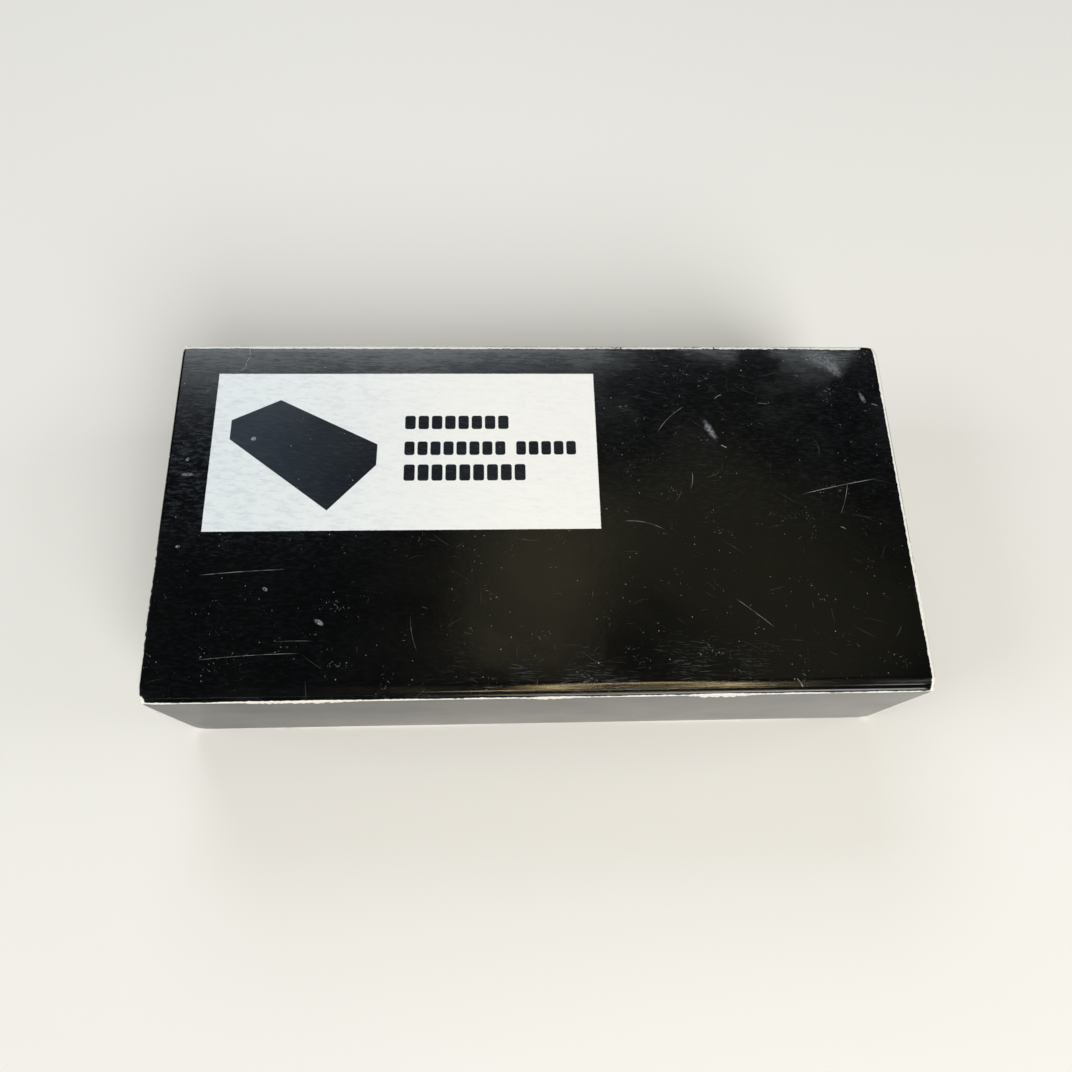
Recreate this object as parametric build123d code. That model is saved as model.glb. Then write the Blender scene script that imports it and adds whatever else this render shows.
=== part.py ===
from build123d import *
import math
import os

# Boxed prepared charcoal block: a reverse-tuck folding carton of thin printed board around a pressed
# charcoal block.
# Frame: origin at the centre of the base, +X along the length, +Y to the back, +Z up. Millimetres.
# The left closure hinges on the top panel and tucks in over the base. The right closure hinges on the
# base and tucks in under the top panel.

# Carton
LENGTH = 144.0
WIDTH = 73.0
HEIGHT = 33.0
BOARD = 0.5
GAP = 0.05              # running clearance between sheets that move against each other
FOLD_RADIUS = 0.8       # outside radius of the long folds
RAW_EDGE_LIFT = 0.6     # height of the back wall's cut lower edge above the base

# Glue seam inside the back wall
GLUE_FILM = 0.05
GLUE_FLAP_HEIGHT = 13.0
GLUE_FLAP_END_INSET = 2.5
GLUE_FLAP_TAPER = 3.0
GLUE_FILM_LENGTH = 124.0
GLUE_FILM_LOW = 2.0
GLUE_FILM_HIGH = 11.5

# Closures and their tuck flaps
CLOSURE_SIDE_INSET = 0.2
CLOSURE_CORNER_RADIUS = 0.3
TUCK_LENGTH = 11.0
TUCK_RISE = 1.05        # how far the tuck flap's free edge stands off the panel it lies against
TUCK_SIDE_INSET = 1.7   # from the carton's side face to the tuck flap's end
TUCK_CORNER_RADIUS = 7.0
TUCK_LIFT = 0.02        # standoff of the tuck flap's root from the panel it lies against, over GAP
SLIT_LENGTH = 12.0      # cut at each end of the tuck crease, which locks on the dust flap
SLIT_WIDTH = 0.8

# Dust flaps: a full-height root, then an edge that falls away from the closure's hinge
DUST_LENGTH = 22.0
DUST_TIP_HINGE_SIDE = 16.4   # distance of the tip's hinge-side corner from the closure's hinge face
DUST_ROOT_HINGE_SIDE = 0.85
DUST_TIP_TUCK_SIDE = 4.6     # distance of the tip's other corner from the tuck side's outer face
DUST_ROOT_TUCK_SIDE = 1.7
DUST_TIP_RADIUS = 2.0

# Pressed charcoal block
BLOCK_LENGTH = 140.0
BLOCK_WIDTH = 70.0
BLOCK_HEIGHT = 30.0
BLOCK_EDGE = 0.8
BLOCK_CLEARANCE = 0.05

# Places worked out from the driving sizes
end_face = LENGTH / 2
closure_inner = end_face - BOARD
sleeve_end = closure_inner - GAP
side_face = WIDTH / 2
side_inner = side_face - BOARD
flat_half_width = side_face - FOLD_RADIUS
glue_outer = side_inner - GLUE_FILM
glue_fold_y = glue_outer - FOLD_RADIUS
top_inner = HEIGHT - BOARD
tuck_face = BOARD + GAP


def block_between(low, high):
    """A box between two opposite corners."""
    size = [h - l for l, h in zip(low, high)]
    centre = [(l + h) / 2 for l, h in zip(low, high)]
    return Pos(*centre) * Box(*size)


def fold_strip(centre_y, centre_z, first_angle, half_length):
    """A quarter-round fold along X, from first_angle to 90 degrees more, about (centre_y, centre_z)."""
    inner = FOLD_RADIUS - BOARD

    def on_arc(radius, turn):
        angle = math.radians(first_angle + turn)
        return (centre_y + radius * math.cos(angle), centre_z + radius * math.sin(angle))

    with BuildSketch(Plane.YZ) as section:
        with BuildLine():
            ThreePointArc(on_arc(FOLD_RADIUS, 0), on_arc(FOLD_RADIUS, 45), on_arc(FOLD_RADIUS, 90))
            Line(on_arc(FOLD_RADIUS, 90), on_arc(inner, 90))
            ThreePointArc(on_arc(inner, 90), on_arc(inner, 45), on_arc(inner, 0))
            Line(on_arc(inner, 0), on_arc(FOLD_RADIUS, 0))
        make_face()
    return extrude(section.sketch, amount=half_length, both=True)


def top_panel():
    """Flat top, running on past the left wall to the left closure's crease."""
    return block_between((-end_face, -flat_half_width, top_inner), (sleeve_end, flat_half_width, HEIGHT))


def bottom_panel():
    """Flat base, running on past the right wall to the right closure's crease."""
    return block_between((-sleeve_end, -flat_half_width, 0), (end_face, glue_fold_y, BOARD))


def front_panel():
    """Front wall with both of its long folds."""
    wall = block_between((-sleeve_end, -side_face, FOLD_RADIUS), (sleeve_end, -side_inner, HEIGHT - FOLD_RADIUS))
    upper = fold_strip(-flat_half_width, HEIGHT - FOLD_RADIUS, 90, sleeve_end)
    lower = fold_strip(-flat_half_width, FOLD_RADIUS, 180, sleeve_end)
    return wall + upper + lower


def back_panel():
    """Back wall with the upper long fold; its lower edge is cut."""
    wall = block_between((-sleeve_end, side_inner, RAW_EDGE_LIFT), (sleeve_end, side_face, HEIGHT - FOLD_RADIUS))
    return wall + fold_strip(flat_half_width, HEIGHT - FOLD_RADIUS, 0, sleeve_end)


def glue_flap():
    """Flap folded up from the base inside the back wall, with tapered ends."""
    half = sleeve_end - GLUE_FLAP_END_INSET
    outline = Polyline(
        (-half, FOLD_RADIUS),
        (half, FOLD_RADIUS),
        (half - GLUE_FLAP_TAPER, GLUE_FLAP_HEIGHT),
        (GLUE_FLAP_TAPER - half, GLUE_FLAP_HEIGHT),
        close=True,
    )
    wall = Pos(0, glue_outer, 0) * extrude(make_face(Plane.XZ * outline), amount=BOARD)
    return wall + fold_strip(glue_fold_y, FOLD_RADIUS, 270, half)


def seam_glue():
    """Dried adhesive film that holds the back wall to the glue flap."""
    half = GLUE_FILM_LENGTH / 2
    return block_between((-half, glue_outer, GLUE_FILM_LOW), (half, side_inner, GLUE_FILM_HIGH))


def left_closure():
    """Left end wall, from its crease under the top panel down to the tuck fold."""
    half = side_face - CLOSURE_SIDE_INSET
    panel = block_between((-end_face, -half, tuck_face), (-closure_inner, half, top_inner - GAP))
    tuck_fold = panel.edges().filter_by(Axis.Y).sort_by(lambda e: e.center().X + e.center().Z)[0]
    return fillet(tuck_fold, CLOSURE_CORNER_RADIUS)


def left_tuck():
    """Left tuck flap: from the tuck fold inwards over the base, rising a little to its free edge."""
    root = -closure_inner + GAP
    root_z = tuck_face + TUCK_LIFT
    slope = math.asin(TUCK_RISE / TUCK_LENGTH)
    run = TUCK_LENGTH * math.cos(slope)
    half = side_face - TUCK_SIDE_INSET
    lifted = BOARD / math.cos(slope)
    side = Plane.XZ * Polyline(
        (root, root_z),
        (root + run, root_z + TUCK_RISE),
        (root + run, root_z + TUCK_RISE + lifted),
        (root, root_z + lifted),
        close=True,
    )
    flap = extrude(make_face(side), amount=half, both=True)
    plan = Pos(root + run / 2, 0, 0) * Rectangle(run, 2 * half)
    free_corners = plan.vertices().sort_by(Axis.X)[-2:]
    plan = fillet(free_corners, TUCK_CORNER_RADIUS)
    slit = Rectangle(2 * SLIT_WIDTH, 2 * SLIT_LENGTH)
    for side_sign in (-1, 1):
        plan -= Pos(root, side_sign * half, 0) * slit
    return flap & extrude(plan, amount=HEIGHT)


def left_dust(side_sign):
    """Left dust flap of the front (-1) or back (+1) wall: a tapered plate just inside the closure."""
    root = BOARD + GAP
    profile = Polyline(
        (root, HEIGHT - DUST_ROOT_HINGE_SIDE),
        (DUST_LENGTH, HEIGHT - DUST_TIP_HINGE_SIDE),
        (DUST_LENGTH, DUST_TIP_TUCK_SIDE),
        (root, DUST_ROOT_TUCK_SIDE),
        close=True,
    )
    face = make_face(profile)
    tip_corners = face.vertices().sort_by(Axis.X)[-2:]
    face = fillet(tip_corners, DUST_TIP_RADIUS)
    plate = Pos(-sleeve_end, -side_face, 0) * extrude(Plane.YZ * face, amount=BOARD)
    return plate if side_sign < 0 else mirror(plate, about=Plane.XZ)


def right_of(left_piece):
    """The right end is the left end turned half a turn about the carton's middle Y axis."""
    middle = HEIGHT / 2
    return Pos(0, 0, middle) * (Rot(0, 180, 0) * (Pos(0, 0, -middle) * left_piece))


def charcoal_block():
    """Pressed block. Its left end rides on the left tuck flap and its right end sits on the base."""
    flap_edge_x = -closure_inner + GAP + TUCK_LENGTH
    flap_edge_z = tuck_face + TUCK_LIFT + TUCK_RISE + BOARD + BLOCK_CLEARANCE
    rest_z = BOARD + BLOCK_CLEARANCE
    lean = math.atan2(flap_edge_z - rest_z, BLOCK_LENGTH / 2 - flap_edge_x)
    block = Box(BLOCK_LENGTH, BLOCK_WIDTH, BLOCK_HEIGHT)
    block = chamfer(block.edges(), BLOCK_EDGE)
    centre_z = rest_z + BLOCK_HEIGHT / 2 + BLOCK_LENGTH / 2 * math.tan(lean)
    return Pos(0, 0, centre_z) * (Rot(0, math.degrees(lean), 0) * block)


nodes = {
    "top_panel": top_panel(),
    "bottom_panel": bottom_panel(),
    "front_panel": front_panel(),
    "back_panel": back_panel(),
    "glue_flap": glue_flap(),
    "seam_glue": seam_glue(),
    "left_closure_panel": left_closure(),
    "left_tuck_flap": left_tuck(),
    "left_front_dust_flap": left_dust(-1),
    "left_back_dust_flap": left_dust(1),
    "right_closure_panel": right_of(left_closure()),
    "right_tuck_flap": right_of(left_tuck()),
    "right_front_dust_flap": right_of(left_dust(-1)),
    "right_back_dust_flap": right_of(left_dust(1)),
    "charcoal_block": charcoal_block(),
}

os.makedirs("parts", exist_ok=True)
for name, shape in nodes.items():
    export_step(shape, os.path.join("parts", name + ".step"))
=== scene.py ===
import math
import random

import bmesh
import bpy
import numpy as np
from mathutils import Matrix, Vector, noise

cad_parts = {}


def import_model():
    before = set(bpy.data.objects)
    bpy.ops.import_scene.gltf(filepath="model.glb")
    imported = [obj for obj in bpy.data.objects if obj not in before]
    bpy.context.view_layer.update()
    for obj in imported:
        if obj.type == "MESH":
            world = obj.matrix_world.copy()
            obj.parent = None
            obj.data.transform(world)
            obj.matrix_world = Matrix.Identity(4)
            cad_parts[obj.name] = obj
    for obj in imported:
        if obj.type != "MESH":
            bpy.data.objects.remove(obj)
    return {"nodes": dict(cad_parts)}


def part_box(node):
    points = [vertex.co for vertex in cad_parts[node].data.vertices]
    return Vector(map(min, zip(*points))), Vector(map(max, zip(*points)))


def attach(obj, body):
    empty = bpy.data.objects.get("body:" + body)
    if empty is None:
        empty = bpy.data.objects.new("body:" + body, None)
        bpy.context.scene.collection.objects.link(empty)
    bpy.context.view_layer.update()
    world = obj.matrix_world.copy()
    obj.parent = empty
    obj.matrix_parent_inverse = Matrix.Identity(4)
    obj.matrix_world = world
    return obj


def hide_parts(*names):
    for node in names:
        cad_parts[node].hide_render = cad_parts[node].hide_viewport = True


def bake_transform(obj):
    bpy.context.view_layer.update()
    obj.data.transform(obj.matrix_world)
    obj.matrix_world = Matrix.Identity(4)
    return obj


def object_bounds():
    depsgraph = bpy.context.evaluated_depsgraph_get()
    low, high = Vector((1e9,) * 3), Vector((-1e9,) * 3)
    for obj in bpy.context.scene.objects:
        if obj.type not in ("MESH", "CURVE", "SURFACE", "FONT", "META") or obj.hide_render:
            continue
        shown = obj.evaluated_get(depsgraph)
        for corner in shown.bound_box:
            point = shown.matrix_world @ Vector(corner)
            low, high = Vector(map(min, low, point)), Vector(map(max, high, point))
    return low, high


# Boxed prepared charcoal block: the looks of the carton's board, print and wear, and of the block.
# Shapes are worked out in millimetres in the CAD frame and scaled to metres when a mesh is made.

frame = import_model()
cad_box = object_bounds()

MM = 0.001


def box_mm(node):
    """Lowest and highest corner of a CAD node, in millimetres."""
    low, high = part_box(node)
    return np.array(low) / MM, np.array(high) / MM


# Sizes read from the frame
END, SIDE, HEIGHT = np.array(cad_box[1]) / MM
TOP_LOW, TOP_HIGH = box_mm("top_panel")
FRONT_LOW, FRONT_HIGH = box_mm("front_panel")
BACK_LOW = box_mm("back_panel")[0]
CLOSURE_LOW, CLOSURE_HIGH = box_mm("left_closure_panel")
TUCK_LOW, TUCK_HIGH = box_mm("left_tuck_flap")
DUST_HIGH = box_mm("left_front_dust_flap")[1]
GLUE_HIGH = box_mm("glue_flap")[1]
BLOCK_LOW, BLOCK_HIGH = box_mm("charcoal_block")
BOARD = TOP_HIGH[2] - TOP_LOW[2]
FOLD = FRONT_HIGH[1] - FRONT_LOW[1]     # outside radius of the long folds
SLEEVE_END = FRONT_HIGH[0]
DUST_LENGTH = DUST_HIGH[1] + SIDE

# Sizes that the frame doesn't hold
CREASE = 0.6                # how far a crease's rounding reaches along each of its two faces
TUCK_CREASE = 0.7 * CREASE
SLIT = 12.0                 # cut at each end of a tuck crease
SLIT_GAP = 0.8
TUCK_CORNER = 7.0           # radius of a tuck flap's free corners
GLUE_TAPER = 3.0            # how much shorter the glue flap's free edge is at each end
DUST_HINGE_CUT = 15.55      # how far a dust flap's edge falls away on the side of the closure's hinge
DUST_TUCK_CUT = 2.9         # and on the side of the tuck flap
BLOCK_LENGTH = 140.0
BLOCK_HEIGHT = 30.0
BLOCK_EDGE = 0.8
PANEL_SIZE = (75.5, 34.0)   # white printed panel
PANEL_LEFT = 8.0 - END
PANEL_BACK = SIDE - 7.0

# How far a used carton has left its square shape
FOLD_DROP = 0.3             # the crushed front fold below the top
BACK_FOLD_DROP = 0.2
SCORE_DEPTH = 0.06          # scored line behind the front fold
TOP_BOW = 0.14
FRONT_BOW = 0.16
BACK_BOW = 0.10
TOP_RIPPLE = 0.035
WALL_RIPPLE = 0.03


# ---------------------------------------------------------------- shape of the used board

def smooth(low, high, value):
    """0 below low, 1 above high, easing in between. low may be the larger of the two."""
    t = np.clip((value - low) / (high - low), 0.0, 1.0)
    return t * t * (3 - 2 * t)


def bell(value, centre, width):
    return np.exp(-(((value - centre) / width) ** 2))


def ripple(points, seed, length):
    """Smooth noise from about -1 to 1: sine waves at seeded headings, with crests about length apart."""
    draw = random.Random(seed)
    total = np.zeros(len(points))
    for _ in range(6):
        heading = Vector([draw.gauss(0, 1) for _ in range(3)]).normalized()
        reach = 2 * math.pi / (length * draw.uniform(0.7, 1.6))
        total += np.sin(points @ np.array(heading) * reach + draw.uniform(0, 2 * math.pi))
    return total / 3.0


CORNERS = (                 # crushed corners: place, depth, reach
    ((-END, -SIDE, HEIGHT), 0.45, 1.7),
    ((END, -SIDE, HEIGHT), 0.45, 1.6),
    ((END, SIDE, HEIGHT), 0.35, 1.5),
    ((-END, SIDE, HEIGHT), 0.12, 1.2),
    ((-END, -SIDE, 0.0), 0.4, 1.8),
    ((END, -SIDE, 0.0), 0.35, 1.6),
    ((-END, SIDE, 0.0), 0.3, 1.6),
    ((END, SIDE, 0.0), 0.5, 2.0),
)


def near_corner(points, corner, reach):
    """1 at a corner, fading out over about reach."""
    return np.exp(-(np.linalg.norm(points - np.array(corner), axis=1) / reach) ** 2)


def used_shape(points):
    """Moves points of the square carton to a used one's shape: soft folds, bowed panels, worn corners."""
    p = np.array(points, float)
    x, y, z = p.T.copy()
    from_front, from_back = y + SIDE, SIDE - y
    across = np.cos(np.pi * y / (2 * SIDE + 4))
    along = np.cos(np.pi * x / (2 * END + 8))
    upper = smooth(HEIGHT - 1.8, HEIGHT - 0.7, z)

    # The long folds are crushed down, with a scored line behind the front one, and the top bows up
    drop = FOLD_DROP * smooth(2.7, 0.9, from_front) * (1 + 0.25 * np.sin(x / 9.0))
    drop += SCORE_DEPTH * bell(from_front, 1.05, 0.16)
    drop += BACK_FOLD_DROP * smooth(1.9, 0.6, from_back) * (1 + 0.3 * np.sin(x / 13.0 + 1))
    p[:, 2] += upper * (TOP_BOW * across * along - drop)
    inside = smooth(0.5, 6, np.minimum(from_front, from_back))
    p[:, 2] += upper * TOP_RIPPLE * ripple(points, 11, 24) * inside

    # The front and back walls bow out
    rise = np.sin(np.pi * np.clip(z / HEIGHT, 0, 1))
    front = smooth(-SIDE + 1.2, -SIDE + 0.2, y)
    back = smooth(SIDE - 0.7, SIDE - 0.1, y)
    p[:, 1] -= front * rise * (FRONT_BOW * along + WALL_RIPPLE * ripple(points, 12, 22))
    p[:, 1] += back * rise * (BACK_BOW * along + WALL_RIPPLE * ripple(points, 13, 22))

    # The corners are pushed in
    middle = np.array([0, 0, HEIGHT / 2])
    for corner, depth, reach in CORNERS:
        inward = np.sign(middle - corner) / math.sqrt(3)
        p += depth * near_corner(points, corner, reach)[:, None] * inward
    return p


# How strongly each line is worn, along its length
def front_fold_wear(p):
    x = p[:, 0]
    ragged = 0.5 * bell(x, -43, 12) + 0.35 * bell(x, 32, 7) + 0.2 * bell(x, 2, 4)
    return 0.78 + ragged + 0.14 * np.sin(x / 2.3) + 0.1 * np.sin(x / 0.9 + 2)


def back_fold_wear(p):
    x = p[:, 0]
    whole = 0.72 + 0.28 * smooth(5, -30, x) + 0.3 * bell(x, 66, 5) - 0.5 * bell(x, -59.5, 0.9)
    return (whole + 0.12 * np.sin(x / 3.1)) * smooth(69.5, 68.3, x)


def left_fold_wear(p):
    return 0.45 + 0.75 * bell(p[:, 1], -SIDE, 9) + 0.15 * ripple(p, 22, 9)


def right_fold_wear(p):
    return 0.3 + 0.75 * smooth(8, -30, p[:, 1]) + 0.15 * ripple(p, 23, 8)


def plain_wear(p):
    return 0.8 + 0.2 * ripple(p, 21, 30)


WORN_LINES = (              # two fixed coordinates (axis, value), strength, width, and how it varies
    ((1, -SIDE + 0.1), (2, HEIGHT - FOLD_DROP - 0.4), 1.0, 0.42, front_fold_wear),
    ((1, SIDE - 0.62), (2, HEIGHT - 0.1), 1.0, 0.44, back_fold_wear),
    ((0, -END + 0.2), (2, HEIGHT - 0.2), 0.9, 0.30, left_fold_wear),
    ((0, SLEEVE_END - 0.12), (2, HEIGHT), 1.2, 0.34, plain_wear),
    ((0, END - 0.22), (2, HEIGHT - 0.65), 1.0, 0.28, right_fold_wear),
    ((0, END - 0.15), (2, 0.15), 0.7, 0.30, plain_wear),
    ((0, -END + 0.15), (2, BOARD + 0.2), 0.75, 0.30, plain_wear),
    ((1, -SIDE + 0.25), (2, 0.25), 0.8, 0.35, plain_wear),
    ((1, SIDE - 0.1), (2, BACK_LOW[2]), 0.8, 0.30, plain_wear),
    ((0, -SLEEVE_END + 0.15), (1, -SIDE + 0.15), 0.75, 0.32, plain_wear),
    ((0, -SLEEVE_END + 0.15), (1, SIDE - 0.15), 0.7, 0.32, plain_wear),
    ((0, SLEEVE_END - 0.15), (1, -SIDE + 0.15), 0.75, 0.32, plain_wear),
    ((0, SLEEVE_END - 0.15), (1, SIDE - 0.15), 0.7, 0.32, plain_wear),
)


def wear_at(points):
    """How worn the print is, from 0 to about 1.5, near folds, cut edges and corners."""
    worn = np.zeros(len(points))
    for (axis_a, value_a), (axis_b, value_b), strength, width, vary in WORN_LINES:
        distance = np.hypot(points[:, axis_a] - value_a, points[:, axis_b] - value_b)
        worn = np.maximum(worn, strength * vary(points) * np.exp(-(distance / width) ** 2))
    for corner, _, reach in CORNERS:
        worn = np.maximum(worn, 1.3 * near_corner(points, corner, 0.75 * reach))
    return worn


# ---------------------------------------------------------------- sheets of board

ARC_POINTS = 13


def rounded_path(corners, radius):
    """Points along straight runs joined by arcs, and each point's distance along the path."""
    corners = [np.array(c, float) for c in corners]
    points = [corners[0]]
    for before, corner, after in zip(corners, corners[1:], corners[2:]):
        into = (corner - before) / np.linalg.norm(corner - before)
        out = (after - corner) / np.linalg.norm(after - corner)
        turn = math.acos(np.clip(into @ out, -1, 1))
        start = corner - into * radius * math.tan(turn / 2)
        side = (out - into * (into @ out)) / math.sin(turn)
        for angle in turn * np.linspace(0, 1, ARC_POINTS):
            points.append(start + radius * (into * math.sin(angle) + side * (1 - math.cos(angle))))
    points.append(corners[-1])
    points = np.array(points)
    lengths = np.concatenate([[0], np.cumsum(np.linalg.norm(np.diff(points, axis=0), axis=1))])
    return points, lengths


def spread(total, ends, fine, coarse):
    """Places from 0 to 1 along a run of the given total, at fine steps within ends of each end."""
    edge = min(ends, total / 2.5)
    near = np.linspace(0, edge, max(2, int(round(edge / fine)) + 1))
    middle = np.linspace(edge, total - edge, max(2, int(round((total - 2 * edge) / coarse)) + 1))
    places = np.concatenate([near[:-1], middle, (total - near[::-1])[1:]])
    return places / total


def sheet(name, corners, radius, plane, across, side, rows=(2.6, 0.13, 2.0), columns=(3.0, 0.25, 2.0),
          along=None):
    """A sheet of board. Its printed face follows the rounded path through corners in plane (two axis
    numbers) and spans across (a function of the distance s along it) on the third axis. side is +1 or -1:
    which way from the path the printed face looks. rows and columns hold the ends, fine and coarse of the
    spread along the path and across it. along(share) may trim the path's two ends at a share of the width."""
    points, lengths = rounded_path(corners, radius)
    total = lengths[-1]
    third = ({0, 1, 2} - set(plane)).pop()
    middle_low, middle_high = across(total / 2)
    share_u, share_v = np.meshgrid(spread(total, *rows), spread(middle_high - middle_low, *columns),
                                   indexing="ij")
    start, stop = along(share_v) if along else (0.0, total)
    s = start + (stop - start) * share_u
    outer = np.zeros(s.shape + (3,))
    step = 0.02
    ahead, behind = np.clip(s + step, 0, total), np.clip(s - step, 0, total)
    tangent = []
    for i, axis in enumerate(plane):
        outer[..., axis] = np.interp(s, lengths, points[:, i])
        tangent.append(np.interp(ahead, lengths, points[:, i]) - np.interp(behind, lengths, points[:, i]))
    low, high = across(s)
    outer[..., third] = low + (high - low) * share_v
    size = np.hypot(*tangent)
    inner = outer.copy()
    inner[..., plane[0]] += side * BOARD * tangent[1] / size
    inner[..., plane[1]] -= side * BOARD * tangent[0] / size
    mesh, kinds = closed_mesh(name, outer, inner)
    mesh.polygons.foreach_set("material_index", kinds)
    store(mesh, "wear", wear_at(np.concatenate([outer.reshape(-1, 3), inner.reshape(-1, 3)])))
    return finished(name, mesh, (PRINT, RAW, CUT))


def closed_mesh(name, outer, inner):
    """A closed mesh between two grids of points, with each point's place before use. Also the kind of each
    face: 0 on the outer grid, 1 on the inner grid and 2 on the rim."""
    rows, columns = outer.shape[:2]

    def at(i, j, layer):
        return (layer * rows + i) * columns + j

    faces, kinds = [], []
    for i in range(rows - 1):
        for j in range(columns - 1):
            faces.append((at(i, j, 0), at(i + 1, j, 0), at(i + 1, j + 1, 0), at(i, j + 1, 0)))
            faces.append((at(i, j, 1), at(i, j + 1, 1), at(i + 1, j + 1, 1), at(i + 1, j, 1)))
            kinds += [0, 1]
    rim = [(0, j) for j in range(columns)] + [(i, columns - 1) for i in range(1, rows)]
    rim += [(rows - 1, j) for j in range(columns - 2, -1, -1)] + [(i, 0) for i in range(rows - 2, 0, -1)]
    for (i, j), (k, m) in zip(rim, rim[1:] + rim[:1]):
        faces.append((at(i, j, 0), at(k, m, 0), at(k, m, 1), at(i, j, 1)))
        kinds.append(2)
    flat = np.concatenate([outer.reshape(-1, 3), inner.reshape(-1, 3)])
    mesh = bpy.data.meshes.new(name)
    mesh.from_pydata((used_shape(flat) * MM).tolist(), [], faces)
    store(mesh, "place", flat)
    return mesh, kinds


def store(mesh, name, values):
    """Keeps a number or a vector per point, which the materials read."""
    kind, key = ("FLOAT", "value") if values.ndim == 1 else ("FLOAT_VECTOR", "vector")
    attribute = mesh.attributes.new(name, kind, "POINT")
    attribute.data.foreach_set(key, values.astype(np.float32).ravel())


def finished(name, mesh, materials, sharp=40):
    """Links a mesh as an object, with outward faces and smooth shading up to an angle."""
    work = bmesh.new()
    work.from_mesh(mesh)
    bmesh.ops.recalc_face_normals(work, faces=work.faces)
    work.to_mesh(mesh)
    work.free()
    for material in materials:
        mesh.materials.append(material)
    mesh.shade_smooth()
    mesh.set_sharp_from_angle(angle=math.radians(sharp))
    piece = bpy.data.objects.new(name, mesh)
    bpy.context.scene.collection.objects.link(piece)
    return piece


# ---------------------------------------------------------------- material graphs

class Graph:
    """Builds one material's node tree. Every value may be a number, a tuple or another node's output."""

    def __init__(self, name):
        self.material = bpy.data.materials.new(name)
        self.material.use_nodes = True
        self.tree = self.material.node_tree
        self.surface = self.tree.nodes["Principled BSDF"]

    def node(self, kind, inputs, **settings):
        made = self.tree.nodes.new("ShaderNode" + kind)
        for key, value in settings.items():
            setattr(made, key, value)
        for key, value in inputs.items():
            self.set(made.inputs[key], value)
        return made

    def set(self, socket, value):
        if isinstance(value, bpy.types.NodeSocket):
            self.tree.links.new(value, socket)
        elif isinstance(value, tuple) and len(value) == 3 and socket.type == "RGBA":
            socket.default_value = value + (1.0,)
        else:
            socket.default_value = value

    def surface_input(self, **values):
        for key, value in values.items():
            self.set(self.surface.inputs[key.replace("_", " ")], value)

    def math(self, operation, *values):
        return self.node("Math", dict(enumerate(values)), operation=operation).outputs[0]

    def plus(self, first, second):
        return self.math("ADD", first, second)

    def minus(self, first, second):
        return self.math("SUBTRACT", first, second)

    def absolute(self, value):
        return self.math("ABSOLUTE", value)

    def union(self, *values):
        total = values[0]
        for value in values[1:]:
            total = self.math("MAXIMUM", total, value)
        return total

    def product(self, *values):
        total = values[0]
        for value in values[1:]:
            total = self.math("MULTIPLY", total, value)
        return total

    def vector(self, operation, *values):
        made = self.node("VectorMath", dict(enumerate(values)), operation=operation)
        return made.outputs["Value" if operation in ("DOT_PRODUCT", "LENGTH") else "Vector"]

    def turned(self, vector, angle):
        """vector turned about Z by an angle in radians."""
        made = self.node("VectorRotate", {"Vector": vector, "Angle": angle}, rotation_type="Z_AXIS")
        return made.outputs[0]

    def stretched(self, vector, angle, along, across):
        """vector turned by angle degrees about Z and scaled per millimetre along and across."""
        return self.vector("MULTIPLY", self.turned(vector, math.radians(angle)), (along, across, across))

    def split(self, vector):
        return self.node("SeparateXYZ", {"Vector": vector}).outputs

    def attribute(self, name, output="Vector"):
        return self.node("Attribute", {}, attribute_name=name).outputs[output]

    def noise(self, vector, scale=1.0, detail=3.0, roughness=0.5, distortion=0.0):
        made = self.node("TexNoise", {"Vector": vector, "Scale": scale, "Detail": detail,
                                      "Roughness": roughness, "Distortion": distortion})
        return made.outputs["Fac"]

    def cells(self, vector, scale, **settings):
        return self.node("TexVoronoi", {"Vector": vector, "Scale": scale}, **settings).outputs

    def ease(self, value, low, high, start=0.0, stop=1.0):
        """Goes from start to stop, with eased ends, as value goes from low to high."""
        made = self.node("MapRange", {0: value, 1: low, 2: high, 3: start, 4: stop},
                         interpolation_type="SMOOTHSTEP")
        return made.outputs[0]

    def between(self, factor, first, second):
        return self.node("Mix", {0: factor, 2: first, 3: second}, data_type="FLOAT").outputs[0]

    def mix(self, factor, first, second):
        return self.node("Mix", {0: factor, 6: first, 7: second}, data_type="RGBA").outputs[2]

    def bump(self, height, distance, strength=1.0, normal=None):
        inputs = {"Height": height, "Distance": distance, "Strength": strength}
        if normal is not None:
            inputs["Normal"] = normal
        return self.node("Bump", inputs).outputs[0]


# ---------------------------------------------------------------- printed white panel

# Flat silhouette of the block, seen from above one corner, clockwise from its far corner
SILHOUETTE = [(-51.3, 23.5), (-31.8, 13.6), (-31.9, 9.1), (-40.9, -0.4), (-60.6, 14.8), (-60.6, 19.0)]

# Lines of print without letters: base, height of the marks, and widths of the words
PRINT_LEFT = -26.8
PRINT_LINES = ((16.9, 3.0, (21.1,)), (11.2, 3.0, (20.4, 12.4)), (5.7, 3.5, (24.3,)))
WORD_GAP = 1.6
MARK_PITCH = 2.6
MARK_GAP = 0.55
MARK_ROUND = 0.5

# The panel's colours. Towards its left the white turns greyer and bluer, and the ink lighter and bluer with a
# painted reflection of the cool light from the back left
PANEL_WHITE = (0.90, 0.91, 0.91)
PANEL_LEFT_TINT = (0.76, 0.83, 0.88)
PANEL_STAIN = (0.50, 0.56, 0.66)
PANEL_FIBRE = (0.50, 0.54, 0.60)
PANEL_SPOT = (0.42, 0.44, 0.46)
PANEL_SCUFF = (0.40, 0.46, 0.54)
PANEL_INK = (0.009, 0.012, 0.017)
PANEL_INK_REFLECTION = (0.030, 0.042, 0.058)
PANEL_INK_FIBRE = (0.11, 0.125, 0.14)
PANEL_INK_SCUFF = (0.22, 0.25, 0.29)


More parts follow.
